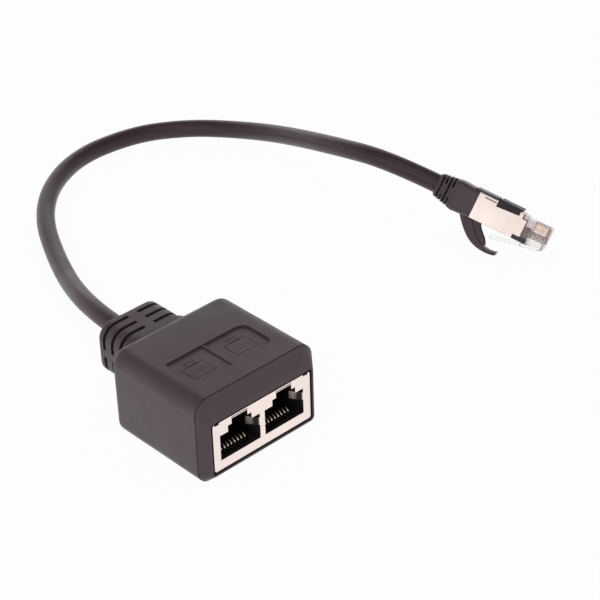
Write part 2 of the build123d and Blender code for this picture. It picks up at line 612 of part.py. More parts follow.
# Saddle: black piece across the contact side, with lips down the plug's sides
saddle_low = SHIELD_HEIGHT / 2 - SADDLE_LIP
saddle_high = SHIELD_HEIGHT / 2 + SADDLE_THICK
saddle_half = SHIELD_WIDTH / 2 + SADDLE_THICK / 2
with BuildPart() as saddle:
    box_between((-saddle_half, SADDLE_START, saddle_low), (saddle_half, SADDLE_START + SADDLE_LENGTH, saddle_high))
    fillet(saddle.edges().group_by(Axis.Z)[-1], SADDLE_ROUND)
    with Locations((0, SADDLE_START + SADDLE_LENGTH / 2, SHIELD_HEIGHT / 2 + FIT - SADDLE_LIP)):
        Box(SHIELD_WIDTH + 2 * FIT, 2 * SADDLE_LENGTH, 2 * SADDLE_LIP, mode=Mode.SUBTRACT)
    with BuildSketch(Plane.YZ):
        with BuildLine():
            Polyline(
                (SADDLE_START, saddle_low),
                (SADDLE_START + SADDLE_LENGTH, saddle_low),
                (SADDLE_START, saddle_low + SADDLE_LIP - SADDLE_LIP_FRONT),
                close=True,
            )
        make_face()
    extrude(amount=saddle_half, both=True, mode=Mode.SUBTRACT)

# Boot: block, tapering slotted neck, tongue over the shield, and the lever
WAIST_Y = PLUG_LENGTH + BOOT_WAIST
tongue_low = SHIELD_HEIGHT / 2 + FIT
tongue_start = SADDLE_START + SADDLE_LENGTH + TONGUE_GAP
with BuildPart() as plug_boot:
    front = rounded(across(PLUG_LENGTH), BOOT_FRONT_WIDTH, BOOT_FRONT_HEIGHT, 0, BOOT_RADIUS)
    full = rounded(across(WAIST_Y), BOOT_FULL_WIDTH, BOOT_FULL_HEIGHT, 0, BOOT_RADIUS)
    end = rounded(across(BOOT_END), BOOT_END_WIDTH, BOOT_END_HEIGHT, NECK_RISE, BOOT_RADIUS)
    loft([front.face(), full.face()], ruled=True)
    loft([full.face(), end.face()], ruled=True)
    fillet(plug_boot.faces().sort_by(Axis.Y)[-1].edges(), BOOT_END_ROUND)
    for row in range(BOOT_SLOT_ROWS):
        slot_y = BOOT_END - BOOT_SLOT_FROM_END - row * BOOT_SLOT_PITCH - BOOT_SLOT_WIDTH
        with BuildSketch(across(slot_y)):
            Rectangle(2 * BOOT_FULL_WIDTH, 2 * BOOT_FULL_HEIGHT)
            if row % 2:
                Rectangle(2 * BOOT_FULL_WIDTH, BOOT_WEB_SIDE, mode=Mode.SUBTRACT)
            else:
                Rectangle(BOOT_WEB_ACROSS, 2 * BOOT_FULL_HEIGHT, mode=Mode.SUBTRACT)
        extrude(amount=-BOOT_SLOT_WIDTH, mode=Mode.SUBTRACT)
    box_between((-TONGUE_WIDTH / 2, tongue_start, tongue_low),
                (TONGUE_WIDTH / 2, PLUG_LENGTH + BOOT_RADIUS, tongue_low + TONGUE_THICK))
    # Lever: curved rim, and two cheeks inside it that guard the latch's tail
    with BuildSketch(Plane.YZ):
        with BuildLine():
            Spline(*LEVER_OUTER)
            Line(LEVER_OUTER[-1], LEVER_RIM[0])
            Spline(*LEVER_RIM)
            Line(LEVER_RIM[-1], LEVER_OUTER[0])
        make_face()
    extrude(amount=LEVER_WIDTH / 2, both=True)
    cheek_face = LEVER_WIDTH / 2 - LEVER_RECESS
    inside_rim = []
    for outer, inner in zip(LEVER_OUTER[:-1], reversed(LEVER_RIM)):
        inside_rim.append(((outer[0] + inner[0]) / 2, (outer[1] + inner[1]) / 2))
    for side in (-1, 1):
        with BuildSketch(Plane.YZ.offset(side * (cheek_face - LEVER_CHEEK / 2))):
            with BuildLine():
                Spline(*LEVER_INNER)
                Polyline(LEVER_INNER[-1], *inside_rim, LEVER_INNER[0])
            make_face()
        extrude(amount=LEVER_CHEEK / 2, both=True)
    # Bore for the jacket's end
    with BuildSketch(across(BOOT_END)):
        with Locations((0, NECK_RISE)):
            Circle(CORD_DIAMETER / 2 + FIT)
    extrude(amount=BOOT_END - PLUG_LENGTH, mode=Mode.SUBTRACT)

# Cord: straight runs joined by tangent arcs, each as large as its runs allow
boot_rear = plug_place.from_local_coords(Vector(0, BOOT_END, NECK_RISE))
plug_back = plug_place.y_dir
route = [EXIT, EXIT + Vector(0, CORD_FIRST_RUN, 0)]
route += [Vector(*point) for point in CORD_POINTS]
route += [boot_rear + plug_back * CORD_LAST_RUN, boot_rear]
runs = [b - a for a, b in zip(route, route[1:])]
bend_radii = []
for before, after in zip(runs, runs[1:]):
    half_turn = radians(before.get_angle(after) / 2)
    bend_radii.append(RADIUS_SHARE * min(before.length, after.length) * cos(half_turn) / sin(half_turn))
with BuildPart() as cord:
    with BuildLine() as cord_path:
        FilletPolyline(*route, radius=bend_radii)
    with BuildSketch(Plane(origin=route[0], z_dir=runs[0])):
        Circle(CORD_DIAMETER / 2)
    sweep()
cord.part.label = "cord"
print("cord bend radii:", [round(radius, 1) for radius in bend_radii])
print("cord runs:", [round(run.length, 1) for run in runs])
print("cord length:", round(sum(edge.length for edge in cord_path.edges()), 1))

# One file for each piece
plug_pieces = {
    "plug_body": plug_body.part,
    "load_bar": load_bar.part,
    "plug_shield": plug_shield.part,
    "plug_saddle": saddle.part,
    "jacket_end": jacket_end.part,
    "plug_boot": plug_boot.part,
}
for number, blade in enumerate(blades, start=1):
    plug_pieces[f"blade_{number}"] = blade.part
for number, wire in enumerate(plug_wires, start=1):
    plug_pieces[f"plug_wire_{number}"] = wire.part
pieces = [housing.part, jack_shield.part, jack_insert.part, circuit_board.part, inner_mould.part, cord.part]
pieces += [contact.part for contact in port_contacts]
pieces += [conductor.part for conductor in conductors]
pieces += [on_plug(part, label) for label, part in plug_pieces.items()]
os.makedirs("parts", exist_ok=True)
for piece in pieces:
    export_step(piece, f"parts/{piece.label}.step")
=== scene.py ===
# %% [markdown]
# Network splitter adapter
#
# The object is a black moulded housing with two shielded sockets, a short round cord, and a
# shielded plug with a snag-proof boot. The CAD model fixes the sizes and places. This file dresses
# it: it rounds the edges that moulding rounds on the real thing, lays the cord on one smooth curve,
# remakes the sockets' springs with a deeper bend, and gives each surface its finish. Everything is
# in metres, in the CAD model's frame.

# %% Load the fixed frame
import json
from math import cos, radians, sin

import bmesh
import bpy
from mathutils import Matrix, Vector

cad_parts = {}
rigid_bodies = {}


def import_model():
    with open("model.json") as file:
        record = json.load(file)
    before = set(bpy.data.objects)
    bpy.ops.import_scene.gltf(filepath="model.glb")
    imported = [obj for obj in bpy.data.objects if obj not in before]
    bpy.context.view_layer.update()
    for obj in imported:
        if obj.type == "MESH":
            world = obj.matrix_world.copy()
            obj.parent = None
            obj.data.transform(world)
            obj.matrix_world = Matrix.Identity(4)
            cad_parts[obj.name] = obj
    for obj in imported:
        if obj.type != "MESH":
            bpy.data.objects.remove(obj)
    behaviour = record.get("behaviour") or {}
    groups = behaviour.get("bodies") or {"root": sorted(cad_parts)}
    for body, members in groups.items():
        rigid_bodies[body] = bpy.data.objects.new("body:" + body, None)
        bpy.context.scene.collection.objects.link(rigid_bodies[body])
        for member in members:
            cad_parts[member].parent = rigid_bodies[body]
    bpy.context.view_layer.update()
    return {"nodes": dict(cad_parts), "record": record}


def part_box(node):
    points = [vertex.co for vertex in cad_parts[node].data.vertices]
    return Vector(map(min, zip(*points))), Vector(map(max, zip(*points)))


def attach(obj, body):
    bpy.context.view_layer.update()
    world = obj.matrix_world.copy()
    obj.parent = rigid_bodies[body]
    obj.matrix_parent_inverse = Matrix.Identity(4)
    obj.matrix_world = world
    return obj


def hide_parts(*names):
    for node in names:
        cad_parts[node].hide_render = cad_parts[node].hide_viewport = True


for thing in list(bpy.data.objects):
    bpy.data.objects.remove(thing)
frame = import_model()
nodes = frame["nodes"]
MM = 0.001
print("CAD nodes:", len(nodes))

# %% [markdown]
# The camera comes first, because the cord's spread is judged by what it sees. A camera is a place
# and a turn. Its turn could be set with angles typed by hand until the picture fits, but here it is
# built from three named angles: round the object, above the horizon, and a slight roll. The lens
# follows from how many pixels of the picture lie between its middle and a point at 45 degrees.

# %% Camera at the photograph's angle
PICTURE_PIXELS = 600
FOCAL_PIXELS = 1849.3
SENSOR_MM = 36.0
CAMERA_PLACE = Vector((-219.5, -275.7, 258.4)) * MM
CAMERA_AZIMUTH = radians(-42.62)
CAMERA_ELEVATION = radians(32.94)
CAMERA_ROLL = radians(-1.76)
CLIP_NEAR = 10 * MM
CLIP_FAR = 10.0

camera_data = bpy.data.cameras.new("camera")
camera_data.sensor_width = SENSOR_MM
camera_data.lens = SENSOR_MM * FOCAL_PIXELS / PICTURE_PIXELS
camera_data.clip_start = CLIP_NEAR
camera_data.clip_end = CLIP_FAR
backward = Vector((
    sin(CAMERA_AZIMUTH) * cos(CAMERA_ELEVATION),
    -cos(CAMERA_AZIMUTH) * cos(CAMERA_ELEVATION),
    sin(CAMERA_ELEVATION),
))
level_right = Vector((cos(CAMERA_AZIMUTH), sin(CAMERA_AZIMUTH), 0))
level_up = backward.cross(level_right)
right = level_right * cos(CAMERA_ROLL) + level_up * sin(CAMERA_ROLL)
up = level_up * cos(CAMERA_ROLL) - level_right * sin(CAMERA_ROLL)
camera = bpy.data.objects.new("camera", camera_data)
camera_turn = Matrix((right, up, backward)).transposed().to_4x4()
camera.matrix_world = Matrix.Translation(CAMERA_PLACE) @ camera_turn
bpy.context.scene.collection.objects.link(camera)
bpy.context.scene.camera = camera
print("lens in mm:", round(camera_data.lens, 1))

# %% [markdown]
# The plug doesn't lie square to the housing. It has its own frame: x runs across it, y runs back
# from its nose, and z points to its contact side. With that frame in one matrix, the cord's last
# stretch is worked out in plain plug sizes and then carried to its place.

# %% The plug's own frame
PLUG_NOSE = Vector((110.05, -14.95, 6.07)) * MM
PLUG_HEADING = radians(-65.8)
PLUG_DIP = radians(18.55)
PLUG_ROLL = radians(30.4)
BOOT_END = 32.8 * MM         # nose to the boot's rear face
NECK_RISE = 0.35 * MM        # cord's line above the plug's middle

side_level = Vector((-sin(PLUG_HEADING), cos(PLUG_HEADING), 0))
rise_level = Vector((
    sin(PLUG_DIP) * cos(PLUG_HEADING),
    sin(PLUG_DIP) * sin(PLUG_HEADING),
    cos(PLUG_DIP),
))
plug_x = side_level * cos(PLUG_ROLL) - rise_level * sin(PLUG_ROLL)
plug_z = rise_level * cos(PLUG_ROLL) + side_level * sin(PLUG_ROLL)
plug_y = plug_z.cross(plug_x)
plug_turn = Matrix((plug_x, plug_y, plug_z)).transposed().to_4x4()
plug_matrix = Matrix.Translation(PLUG_NOSE) @ plug_turn
boot_rear = plug_matrix @ Vector((0, BOOT_END, NECK_RISE))
print("boot's rear face at, in mm:", [round(value / MM, 1) for value in boot_rear])

# %% [markdown]
# The cord is a round tube of soft plastic that leaves the strain relief level, sinks to the table,
# sweeps round and climbs to the plug. It could be a mesh tube, but a curve with a round bevel keeps
# its line editable. The route's points are the control points of one smooth spline, so the line
# has no kinks where runs meet. They were set one by one, until the tube lay over the photographed
# cord.

# %% The cord
CORD_DIAMETER = 5.1 * MM
CORD_EXIT = Vector((0, 23.8, 11.0)) * MM
CORD_FIRST_RUN = 13.5 * MM   # straight out of the strain relief
CORD_LAST_RUN = 14.6 * MM    # straight into the boot
CORD_STEPS = 16              # between two control points
CORD_ROUNDNESS = 10
CORD_POINTS = [
    (12.2, 67.5, 3.7),
    (29.6, 100.6, 2.6),
    (52.2, 116.2, 2.9),
    (74.8, 115.2, 3.1),
    (88.4, 106.0, 3.5),
    (95.4, 92.9, 5.1),
    (97.0, 73.9, 9.8),
    (91.3, 45.8, 18.6),
]
route = [CORD_EXIT, CORD_EXIT + Vector((0, CORD_FIRST_RUN, 0))]
route += [Vector(point) * MM for point in CORD_POINTS]
route += [boot_rear + plug_y * CORD_LAST_RUN, boot_rear]

cord_curve = bpy.data.curves.new("cord_line", "CURVE")
cord_curve.dimensions = "3D"
cord_curve.resolution_u = CORD_STEPS
cord_curve.bevel_depth = CORD_DIAMETER / 2
cord_curve.bevel_resolution = CORD_ROUNDNESS
cord_curve.use_fill_caps = True
line = cord_curve.splines.new("NURBS")
line.points.add(len(route) - 1)
for control, place in zip(line.points, route):
    control.co = (*place, 1)
line.order_u = 3
line.use_endpoint_u = True
line.use_smooth = True
cord = bpy.data.objects.new("cord_jacket_tube", cord_curve)
bpy.context.scene.collection.objects.link(cord)
print("cord control points:", len(route), "length in mm:", round(line.calc_length() / MM, 1))

# %% [markdown]
# A finish is a small graph of shader nodes. A single colour looks like a toy, because real plastic
# and metal vary: fine grain catches the light and handling changes the gloss. Each finish here
# starts from one shader with its fixed values, and noise read from object coordinates drives the
# colour a little, the roughness, and a bump. Some finishes also get painted shade, and two get
# painted light; these fade in along a direction.

# %% Tools for finishes
NOISE_LOW = 0.3              # nearly all of a noise's values lie between these two
NOISE_HIGH = 0.7


def new_finish(name, colour, roughness, metallic=0.0):
    """A material of one even colour, and its shader."""
    finish = bpy.data.materials.new(name)
    finish.use_nodes = True
    shader = finish.node_tree.nodes["Principled BSDF"]
    shader.inputs["Base Color"].default_value = (*colour, 1)
    shader.inputs["Roughness"].default_value = roughness
    shader.inputs["Metallic"].default_value = metallic
    finish.diffuse_color = (*colour, 1)
    return finish, shader


def noise(finish, size, detail=2.0, stretch=(1, 1, 1)):
    """Noise over the piece with features of about this size; stretch squeezes it along an axis."""
    tree = finish.node_tree
    place = tree.nodes.new("ShaderNodeTexCoord")
    mapping = tree.nodes.new("ShaderNodeMapping")
    mapping.inputs["Scale"].default_value = stretch
    grain = tree.nodes.new("ShaderNodeTexNoise")
    grain.inputs["Scale"].default_value = 1 / size
    grain.inputs["Detail"].default_value = detail
    tree.links.new(place.outputs["Object"], mapping.inputs["Vector"])
    tree.links.new(mapping.outputs["Vector"], grain.inputs["Vector"])
    return grain.outputs["Fac"]


def vary_roughness(finish, shader, value, low, high):
    """Roughness follows a value from 0 to 1 between two limits."""
    spread = finish.node_tree.nodes.new("ShaderNodeMapRange")
    spread.inputs["From Min"].default_value = NOISE_LOW
    spread.inputs["From Max"].default_value = NOISE_HIGH
    spread.inputs["To Min"].default_value = low
    spread.inputs["To Max"].default_value = high
    finish.node_tree.links.new(value, spread.inputs["Value"])
    finish.node_tree.links.new(spread.outputs["Result"], shader.inputs["Roughness"])


def vary_colour(finish, shader, value, dark, light):
    """Colour follows a value from 0 to 1 between two near colours."""
    ramp = finish.node_tree.nodes.new("ShaderNodeValToRGB")
    ramp.color_ramp.elements[0].position = NOISE_LOW
    ramp.color_ramp.elements[0].color = (*dark, 1)
    ramp.color_ramp.elements[1].position = NOISE_HIGH
    ramp.color_ramp.elements[1].color = (*light, 1)
    finish.node_tree.links.new(value, ramp.inputs["Fac"])
    finish.node_tree.links.new(ramp.outputs["Color"], shader.inputs["Base Color"])


def raise_grain(finish, shader, value, depth, strength):
    """Bump of this depth in metres from a value."""
    bump = finish.node_tree.nodes.new("ShaderNodeBump")
    bump.inputs["Strength"].default_value = strength
    bump.inputs["Distance"].default_value = depth
    finish.node_tree.links.new(value, bump.inputs["Height"])
    finish.node_tree.links.new(bump.outputs["Normal"], shader.inputs["Normal"])


def blend_colour(finish, shader, share, colour):
    """Mixes a fixed colour into the shader's present one by a share from 0 to 1."""
    tree = finish.node_tree
    mix = tree.nodes.new("ShaderNodeMix")
    mix.data_type = "RGBA"
    present = shader.inputs["Base Color"].links[0].from_socket
    tree.links.new(share, mix.inputs["Factor"])
    tree.links.new(present, mix.inputs["A"])
    mix.inputs["B"].default_value = (*colour, 1)
    tree.links.new(mix.outputs["Result"], shader.inputs["Base Color"])


def share_between(finish, value, start, end):
    """0 where a value is at its start, 1 at its end."""
    span = finish.node_tree.nodes.new("ShaderNodeMapRange")
    span.inputs["From Min"].default_value = start
    span.inputs["From Max"].default_value = end
    finish.node_tree.links.new(value, span.inputs["Value"])
    return span.outputs["Result"]


def fade_along(finish, shader, direction, start, end, colour):
    """The colour turns into another between two distances along a direction."""
    tree = finish.node_tree
    place = tree.nodes.new("ShaderNodeTexCoord")
    along = tree.nodes.new("ShaderNodeVectorMath")
    along.operation = "DOT_PRODUCT"
    along.inputs[1].default_value = direction
    tree.links.new(place.outputs["Object"], along.inputs[0])
    blend_colour(finish, shader, share_between(finish, along.outputs["Value"], start, end), colour)


def fade_in_plug(finish, shader, direction, start, end, colour):
    """The same between two distances from the plug's nose, along one of the plug's axes."""
    nose = direction.dot(PLUG_NOSE)
    fade_along(finish, shader, direction, nose + start, nose + end, colour)


print("finish tools ready")

# %% [markdown]
# The housing and the boot are soft PVC. Its skin copies a spark-eroded mould: a grain of about a
# sixth of a millimetre that turns reflections of the room into a soft sheen. The cord's jacket is
# drawn through a die, so it is smoother and glossier, with faint ripples. The plug's saddle is a
# harder plastic with less sheen, and the insert in the sockets is the darkest. The photograph's
# light is a little pink, so the two PVC finishes tint what they reflect.

# %% Black plastics
WARM_SHEEN = (1.0, 0.89, 0.92, 1)
CORD_SHEEN = (1.0, 0.82, 0.86, 1)


def moulded_pvc():
    finish, shader = new_finish("black_pvc", (0.065, 0.045, 0.052), 0.4)
    shader.inputs["Specular Tint"].default_value = WARM_SHEEN
    vary_roughness(finish, shader, noise(finish, size=6 * MM), low=0.35, high=0.46)
    clouds = noise(finish, size=14 * MM)
    vary_colour(finish, shader, clouds, dark=(0.061, 0.042, 0.049), light=(0.069, 0.048, 0.055))
    grain = noise(finish, size=0.16 * MM, detail=3.0)
    raise_grain(finish, shader, grain, depth=0.010 * MM, strength=0.7)
    return finish


def extruded_jacket():
    finish, shader = new_finish("cord_jacket", (0.038, 0.019, 0.025), 0.34)
    shader.inputs["Specular Tint"].default_value = CORD_SHEEN
    vary_roughness(finish, shader, noise(finish, size=9 * MM), low=0.30, high=0.42)
    clouds = noise(finish, size=20 * MM)
    vary_colour(finish, shader, clouds, dark=(0.031, 0.016, 0.021), light=(0.038, 0.020, 0.026))
    ripples = noise(finish, size=1.3 * MM, detail=1.0)
    raise_grain(finish, shader, ripples, depth=0.012 * MM, strength=0.5)
    return finish


def insert_plastic():
    finish, shader = new_finish("black_insert", (0.016, 0.015, 0.016), 0.45)
    vary_roughness(finish, shader, noise(finish, size=2 * MM), low=0.38, high=0.55)
    grain = noise(finish, size=0.25 * MM)
    raise_grain(finish, shader, grain, depth=0.006 * MM, strength=0.5)
    return finish


def saddle_plastic():
    finish, shader = new_finish("saddle_plastic", (0.036, 0.027, 0.030), 0.5)
    shader.inputs["Specular IOR Level"].default_value = 0.25
    vary_roughness(finish, shader, noise(finish, size=1.5 * MM), low=0.42, high=0.55)
    grain = noise(finish, size=0.3 * MM)
    raise_grain(finish, shader, grain, depth=0.004 * MM, strength=0.5)
    return finish


finishes = {
    "black_pvc": moulded_pvc(),
    "cord_jacket": extruded_jacket(),
    "black_insert": insert_plastic(),
    "saddle_plastic": saddle_plastic(),
}
print("black plastics:", sorted(finishes))

# %% [markdown]
# The can round the sockets and the plug's shell are folded from nickel-plated sheet. Nickel is
# slightly warm. Rolling leaves fine lines in one direction, so the noise is squeezed across them.
# The contacts and blades are gold over nickel. The photograph shows the sockets' depths nearly
# black, darker than these lamps leave them, so the can's sheet and the springs behind the plate get
# painted shade, standing in for the shade and the dark wells they mirror. The blades are gold only
# at their outer edges.

# %% Metals
PLATE_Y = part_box("jack_shield")[0].y
DEEP = (0, 1, 0)
# Painted shade: the can's sheet turns nearly black just behind the plate and dark grey further in
SHEET_EDGE = (PLATE_Y + 0.06 * MM, PLATE_Y + 0.3 * MM)
SHEET_EDGE_PAINTED_SHADE = (0.03, 0.025, 0.025)
SHEET_INSIDE = (PLATE_Y + 1.2 * MM, PLATE_Y + 1.9 * MM)
SHEET_INSIDE_PAINTED_SHADE = (0.30, 0.25, 0.24)
# Painted shade: the springs go nearly black deeper in the wells
SPRING_DEPTH = (PLATE_Y + 3.1 * MM, PLATE_Y + 3.7 * MM)
SPRING_DEPTH_PAINTED_SHADE = (0.05, 0.04, 0.03)
GOLD_ENDS = (0.9 * MM, 0.4 * MM)        # above the plug's middle
UNDER_GOLD_COLOUR = (0.72, 0.67, 0.65)


def nickel_plate(name):
    finish, shader = new_finish(name, (0.94, 0.82, 0.76), 0.28, metallic=1.0)
    vary_roughness(finish, shader, noise(finish, size=5 * MM), low=0.24, high=0.36)
    clouds = noise(finish, size=8 * MM)
    vary_colour(finish, shader, clouds, dark=(0.92, 0.80, 0.74), light=(0.96, 0.84, 0.78))
    rolling = noise(finish, size=0.5 * MM, stretch=(1, 1, 12))
    raise_grain(finish, shader, rolling, depth=0.003 * MM, strength=0.5)
    return finish, shader


def gold_plate(name):
    finish, shader = new_finish(name, (0.88, 0.76, 0.56), 0.18, metallic=1.0)
    vary_roughness(finish, shader, noise(finish, size=1.2 * MM), low=0.12, high=0.24)
    clouds = noise(finish, size=2 * MM)
    vary_colour(finish, shader, clouds, dark=(0.68, 0.53, 0.39), light=(0.78, 0.64, 0.50))
    return finish, shader


finishes["nickel_sheet"] = nickel_plate("plug_nickel")[0]
can_sheet, can_shader = nickel_plate("can_nickel")
# painted shade on the can's sheet behind the plate
fade_along(can_sheet, can_shader, DEEP, *SHEET_EDGE, SHEET_EDGE_PAINTED_SHADE)
fade_along(can_sheet, can_shader, DEEP, *SHEET_INSIDE, SHEET_INSIDE_PAINTED_SHADE)
finishes["can_nickel"] = can_sheet
spring_metal, spring_shader = gold_plate("spring_metal")
# painted shade on the springs deep in the wells
fade_along(spring_metal, spring_shader, DEEP, *SPRING_DEPTH, SPRING_DEPTH_PAINTED_SHADE)
finishes["spring_metal"] = spring_metal
blade_metal, blade_shader = gold_plate("gold_plate")
fade_in_plug(blade_metal, blade_shader, plug_z, *GOLD_ENDS, UNDER_GOLD_COLOUR)
finishes["gold_plate"] = blade_metal
print("finishes so far:", len(finishes))

# %% [markdown]
# The plug's body is clear polycarbonate. It could be faked with transparency alone, but then it has
# no bright edges. Transmission bends the view through it, as the real nose does, so the blades
# and wires inside look broken up by its faces. The real nose has more inner faces than the model,
# and they look dark where they mirror the plug's dark inside. The finish paints that in as shade:
# painted shade at grazing angles, in a band behind the front face, a lighter one on the front face
# itself, and behind the blades. The latch stands clear of the rest and is painted palest, as painted
# light. Each pair of distances below runs from where a colour sets in to where it is full.

# %% Clear plastic, inner parts and wires
# Painted shade for the nose's dark inner reflections: at grazing angles, behind the front, on the
# front face, behind the blades
RIM_SPAN = (0.36, 0.8)
RIM_PAINTED_SHADE = (0.26, 0.21, 0.21)
FRONT_BAND = (1.15 * MM, 0.85 * MM)
FRONT_BAND_PAINTED_SHADE = (0.34, 0.28, 0.28)
FRONT_FACE = (0.45 * MM, 0.25 * MM)
FRONT_FACE_PAINTED_SHADE = (0.80, 0.75, 0.74)
BEHIND_BLADES = (4.2 * MM, 4.8 * MM)
BEHIND_BLADES_PAINTED_SHADE = (0.60, 0.52, 0.51)
# Painted light: the latch, clear of the rest, is painted near white
LATCH = (-3.1 * MM, -3.7 * MM)
LATCH_PAINTED_LIGHT = (0.96, 0.94, 0.93)
# Painted light: the load bar's stem above its black foot is painted paler brown-grey, the lighter
# look it has behind the clear body
BAR_STEM = (-2.4 * MM, -1.9 * MM)
BAR_STEM_PAINTED_LIGHT = (0.42, 0.34, 0.32)
CLEAR_INDEX = 1.58
PLAIN_DARK = 0.9             # shares of a plain plastic's own colour
PLAIN_LIGHT = 1.08
WIRE_ROUGHNESS = 0.38


def clear_polycarbonate():
    finish, shader = new_finish("clear_plastic", (0.88, 0.84, 0.83), 0.04)
    shader.inputs["Transmission Weight"].default_value = 0.96
    shader.inputs["IOR"].default_value = CLEAR_INDEX
    clouds = noise(finish, size=4 * MM)
    vary_colour(finish, shader, clouds, dark=(0.86, 0.82, 0.81), light=(0.91, 0.87, 0.86))
    # painted shade at grazing angles
    rim = finish.node_tree.nodes.new("ShaderNodeLayerWeight")
    rim.inputs["Blend"].default_value = 0.4
    grazing = share_between(finish, rim.outputs["Facing"], *RIM_SPAN)
    blend_colour(finish, shader, grazing, RIM_PAINTED_SHADE)
    # painted shade behind the front, on the front face and behind the blades
    fade_in_plug(finish, shader, plug_y, *FRONT_BAND, FRONT_BAND_PAINTED_SHADE)
    fade_in_plug(finish, shader, plug_y, *FRONT_FACE, FRONT_FACE_PAINTED_SHADE)
    fade_in_plug(finish, shader, plug_y, *BEHIND_BLADES, BEHIND_BLADES_PAINTED_SHADE)
    # painted light on the latch
    fade_in_plug(finish, shader, plug_z, *LATCH, LATCH_PAINTED_LIGHT)
    vary_roughness(finish, shader, noise(finish, size=3 * MM), low=0.03, high=0.09)
    return finish


def bar_plastic():
    finish, shader = new_finish("bar_plastic", (0.03, 0.027, 0.027), 0.4)
    vary_roughness(finish, shader, noise(finish, size=1 * MM), low=0.32, high=0.46)
    clouds = noise(finish, size=1 * MM)
    vary_colour(finish, shader, clouds, dark=(0.025, 0.022, 0.022), light=(0.035, 0.031, 0.031))
    # painted light on the stem above the foot
    fade_in_plug(finish, shader, plug_z, *BAR_STEM, BAR_STEM_PAINTED_LIGHT)
    return finish


def plain_plastic(name, colour, roughness, vein):
    """An inner part's finish; vein is the size of its clouds."""
    finish, shader = new_finish(name, colour, roughness)
    dark = tuple(PLAIN_DARK * channel for channel in colour)
    light = tuple(min(1.0, PLAIN_LIGHT * channel) for channel in colour)
    vary_colour(finish, shader, noise(finish, vein), dark, light)
    wear = noise(finish, 2 * vein)
    vary_roughness(finish, shader, wear, low=roughness - 0.06, high=roughness + 0.08)
    return finish


finishes["clear_plastic"] = clear_polycarbonate()
finishes["bar_plastic"] = bar_plastic()
finishes["inner_plastic"] = plain_plastic("inner_plastic", (0.72, 0.70, 0.64), 0.45, 4 * MM)
finishes["board"] = plain_plastic("board", (0.03, 0.20, 0.08), 0.30, 1 * MM)
WIRE_COLOURS = {
    "wire_pale": (0.80, 0.78, 0.73),
    "wire_orange": (0.74, 0.50, 0.34),
    "wire_green": (0.06, 0.38, 0.12),
    "wire_blue": (0.05, 0.15, 0.55),
    "wire_brown": (0.66, 0.58, 0.52),
}
for name, colour in WIRE_COLOURS.items():
    finishes[name] = plain_plastic(name, colour, WIRE_ROUGHNESS, 1.5 * MM)
print("finishes:", len(finishes))

# %% [markdown]
# Every CAD node has a material slot in the record. Nodes whose form is already right, such as the
# blades, the wires and the circuit board, stay as they are and only get their finish.

# %% Give the CAD nodes their finishes
slot_of = {}
for part in frame["record"]["subparts"]:
    slot_of[part["node"]] = part["material_slot"]
for name, node in nodes.items():
    for place in node.material_slots:
        place.material = finishes[slot_of[name]]
print("nodes with a finish:", len(slot_of))

# %% [markdown]
# No moulded edge is perfectly sharp, and the thin bright line that a rounded edge catches is what
# makes a piece look real. Each visible piece is a copy of its CAD node: its loose triangles are
# merged, and a small bevel rounds the sharp edges and keeps flat faces shaded flat. A piece of cut
# sheet, or one whose rounds are all in the CAD model, has its sharp edges marked instead. Some
# details lie deeper or further back in the photograph than in the CAD model, and there a last tool
# moves the copy's points by less than a millimetre.

# %% Tools for dressed pieces
MERGE_DISTANCE = 0.002 * MM
SHARP_ANGLE = radians(35)
EDGE_STEPS = 2


def link(name, mesh):
    """A new piece at the origin."""
    piece = bpy.data.objects.new(name, mesh)
    bpy.context.scene.collection.objects.link(piece)
    return piece


def merged_mesh(node_name):
    """The CAD node's mesh as a new mesh, merged and smooth."""
    form = bmesh.new()
    form.from_mesh(nodes[node_name].data)
    bmesh.ops.remove_doubles(form, verts=form.verts, dist=MERGE_DISTANCE)
    for face in form.faces:
        face.smooth = True
    mesh = bpy.data.meshes.new(node_name + "_dressed")
    form.to_mesh(mesh)
    form.free()
    for layer in ("custom_normal", "sharp_edge", "sharp_face"):
        if layer in mesh.attributes:
            mesh.attributes.remove(mesh.attributes[layer])
    return mesh


def dress(node_name, piece_name, edge=0.0, finish=None):
    """A copy of a CAD node in the node's stead, with rounded edges if a width is given."""
    piece = link(piece_name, merged_mesh(node_name))
    piece.data.materials.clear()
    piece.data.materials.append(finishes[finish or slot_of[node_name]])
    if edge:
        bevel = piece.modifiers.new("rounded_edges", "BEVEL")
        bevel.width = edge
        bevel.segments = EDGE_STEPS
        bevel.limit_method = "ANGLE"
        bevel.angle_limit = SHARP_ANGLE
        bevel.use_clamp_overlap = False
        bevel.miter_outer = "MITER_ARC"
        bevel.harden_normals = True
    else:
        piece.data.set_sharp_from_angle(angle=SHARP_ANGLE)
    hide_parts(node_name)
    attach(piece, "root")
    return piece


def shift(piece, chosen, move, into=Matrix.Identity(4)):
    """Moves the points that a test picks, in a local frame's axes, and counts them."""
    back = into.inverted()
    moved = 0
    for point in piece.data.vertices:
        local = back @ point.co
        if chosen(local):
            point.co = into @ (local + Vector(move))
            moved += 1
    return moved


print("dressing tools ready")

# %% [markdown]
# The housing and the jack inside it. The housing's large rounds are in the CAD model, so only the
# rims of its mouth, slots and panel are eased. The can is cut sheet, so its edges stay sharp. The
# photograph shows a clearer step round the panel, so its floor is sunk further, and a dark gap
# between the can and the housing's mouth, so the can is drawn in at its top and left.

# %% Housing and jack
HOUSING_EDGE = 0.05 * MM
PANEL_FLOOR = 22.0 * MM
PANEL_SINK = 0.20 * MM
BEHIND_PANEL = -4 * MM       # the panel ends in front of this
GAP_ABOVE = 0.22 * MM
GAP_LEFT = 0.18 * MM
CAN_RIM = 0.8 * MM           # points this near to the can's side move with it
SAME_LEVEL = 0.01 * MM

